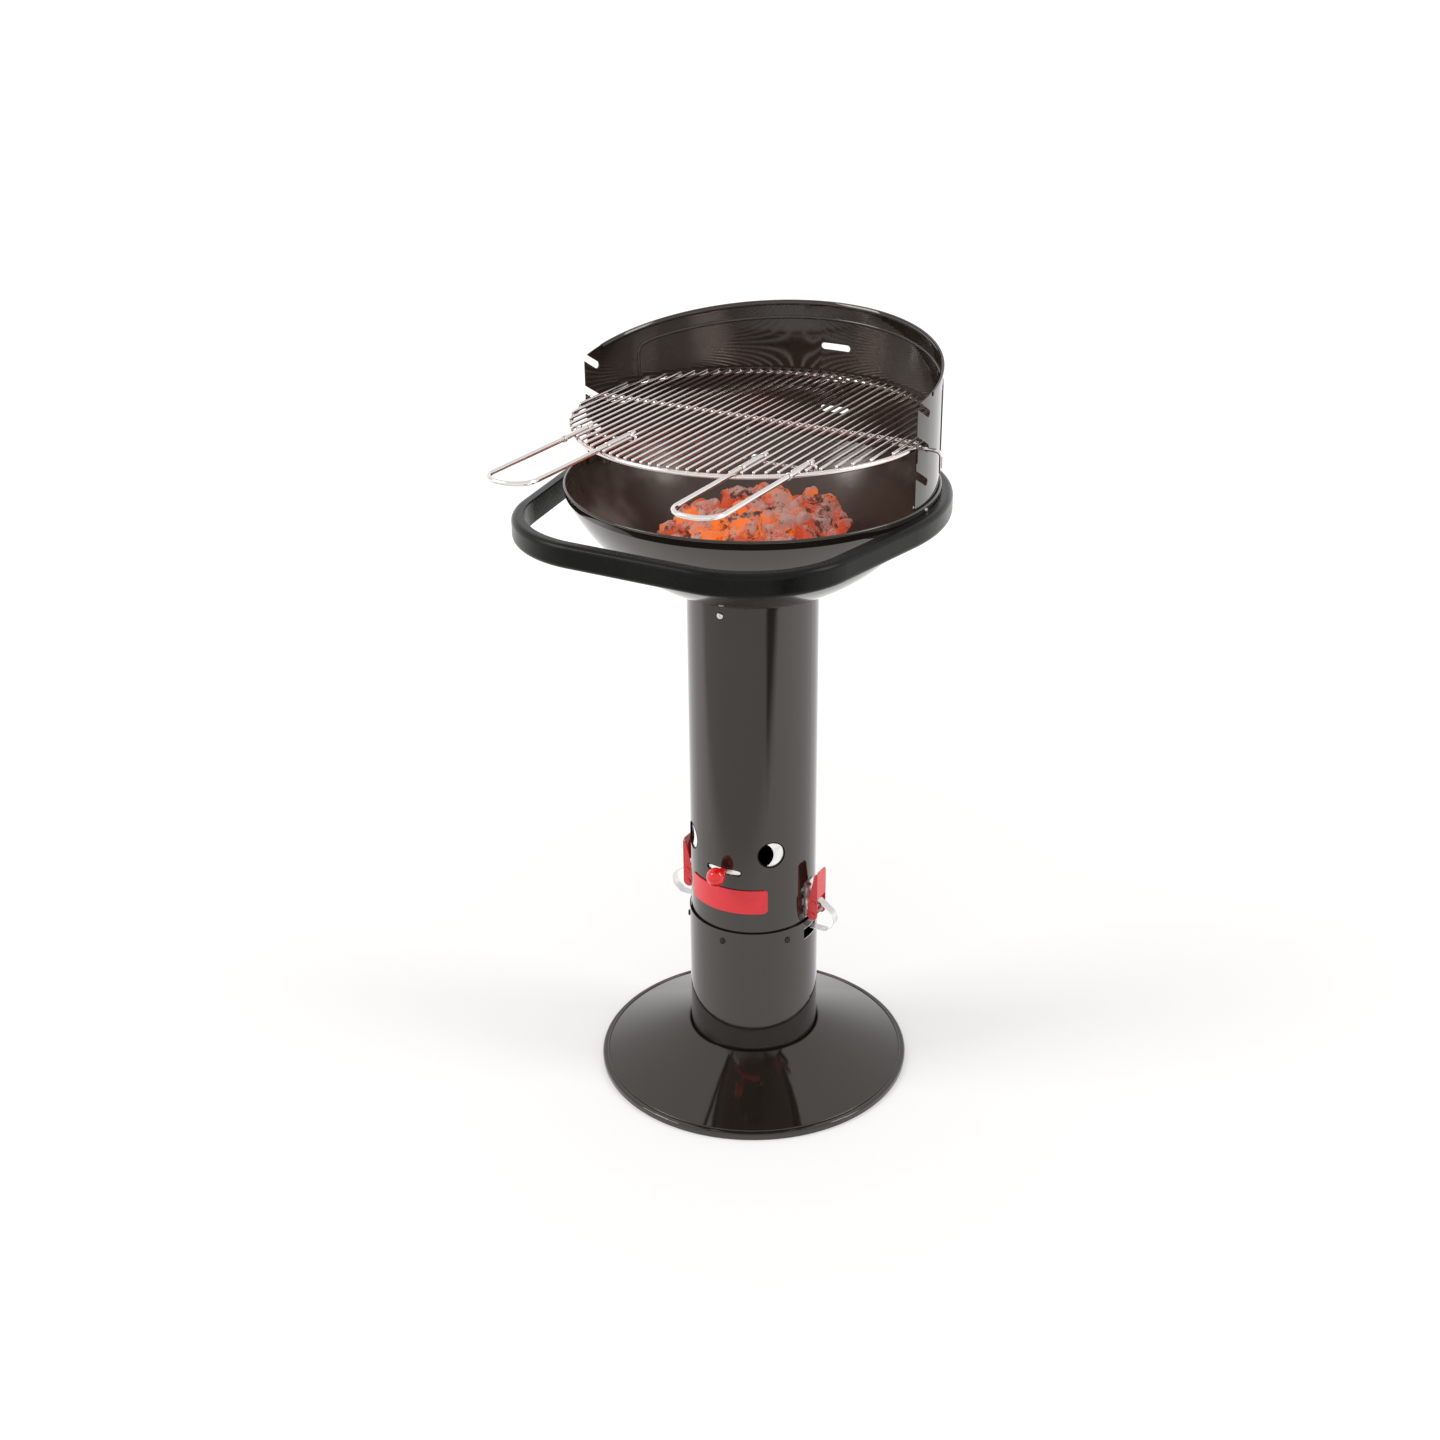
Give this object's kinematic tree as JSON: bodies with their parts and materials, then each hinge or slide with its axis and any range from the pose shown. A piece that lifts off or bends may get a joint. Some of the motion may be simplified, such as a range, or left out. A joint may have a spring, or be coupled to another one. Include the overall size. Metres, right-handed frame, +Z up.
{
  "type": "charcoal grill",
  "caption": "Column charcoal grill with a fire bowl, tilted windscreen, hook-in cooking grate, air damper, ash tank and sprung latches.",
  "frame": {"origin": "on the floor under the column's axis", "axes": "+Z up along the column, -Y towards the front where the knob and the grate handles are, +X to the right of someone looking at the front"},
  "size_m": [0.503, 0.6002, 1.0222],
  "materials": {
    "enamel": "glossy vitreous enamel",
    "screen_enamel": "glossy vitreous enamel",
    "zinc_steel": "bright zinc plate",
    "damper_steel": "bright rolled sheet",
    "spring_steel": "polished spring steel",
    "red_knob": "high gloss",
    "red_plate": "semi gloss",
    "red_lacquer": "gloss lacquer",
    "rail_plastic": "fine satin grain",
    "chrome_wire": "bright chrome plate",
    "fire_wire": "heat-darkened steel",
    "charcoal": "glowing lumps with ash"
  },
  "bodies": {
    "stand": {"foot_disc": "enamel", "base_tube": "enamel", "tank_floor": "enamel", "foot_bolts": "zinc_steel", "foot_nuts": "zinc_steel", "stop_screws": "zinc_steel", "column_tube": "enamel", "column_screws": "zinc_steel", "front_plate": "red_plate", "latch_bracket_left": "zinc_steel", "latch_bracket_right": "zinc_steel", "bracket_rivets": "zinc_steel", "lever_pin_left": "zinc_steel", "lever_pin_right": "zinc_steel", "bowl": "enamel", "windscreen": "screen_enamel", "screen_bolts": "zinc_steel", "screen_nuts": "zinc_steel", "rail": "rail_plastic", "rail_screws": "zinc_steel"},
    "damper": {"damper_ring": "damper_steel", "damper_stud": "damper_steel", "damper_knob": "red_knob"},
    "latch_left": {"lever_left": "red_lacquer", "hook_pin_left": "zinc_steel"},
    "latch_right": {"lever_right": "red_lacquer", "hook_pin_right": "zinc_steel"},
    "hook_left": {"sprung_hook_left": "spring_steel"},
    "hook_right": {"sprung_hook_right": "spring_steel"},
    "fuel": {"charcoal_grate": "fire_wire", "charcoal": "charcoal"},
    "grate": {"grate_rim": "chrome_wire", "grate_rods": "chrome_wire", "grate_crossbar": "chrome_wire", "grate_handle_left": "chrome_wire", "grate_handle_right": "chrome_wire", "grate_side_hooks": "chrome_wire", "grate_rear_tab": "chrome_wire", "handle_ties": "chrome_wire"}
  },
  "joints": [
    {"name": "damper_turn", "type": "hinge", "parent": "stand", "child": "damper", "pos_m": [0, 0, 0.332], "axis": [0, 0, 1], "range_deg": [-14.3, 14.3]},
    {"name": "latch_left_open", "type": "hinge", "parent": "stand", "child": "latch_left", "pos_m": [-0.0965, 0, 0.2535], "axis": [0, -1, 0], "range_deg": [0, 50]},
    {"name": "latch_right_open", "type": "hinge", "parent": "stand", "child": "latch_right", "pos_m": [0.0965, 0, 0.2535], "axis": [0, 1, 0], "range_deg": [0, 50]},
    {"name": "hook_left_turn", "type": "hinge", "parent": "latch_left", "child": "hook_left", "pos_m": [-0.098, 0, 0.271], "axis": [0, -1, 0], "range_deg": [-50, 0]},
    {"name": "hook_right_turn", "type": "hinge", "parent": "latch_right", "child": "hook_right", "pos_m": [0.098, 0, 0.271], "axis": [0, 1, 0], "range_deg": [-50, 0]},
    {"name": "fuel_lift", "type": "slide", "parent": "stand", "child": "fuel", "axis": [0, 0, 1], "range_m": [0, 0.06]},
    {"name": "grate_pull", "type": "slide", "parent": "stand", "child": "grate", "axis": [0, -0.866, 0.5], "range_m": [0, 0.12]}
  ],
  "couplings": [
    {"joint": "hook_left_turn", "follows": "latch_left_open", "ratio": -1},
    {"joint": "hook_right_turn", "follows": "latch_right_open", "ratio": -1}
  ]
}
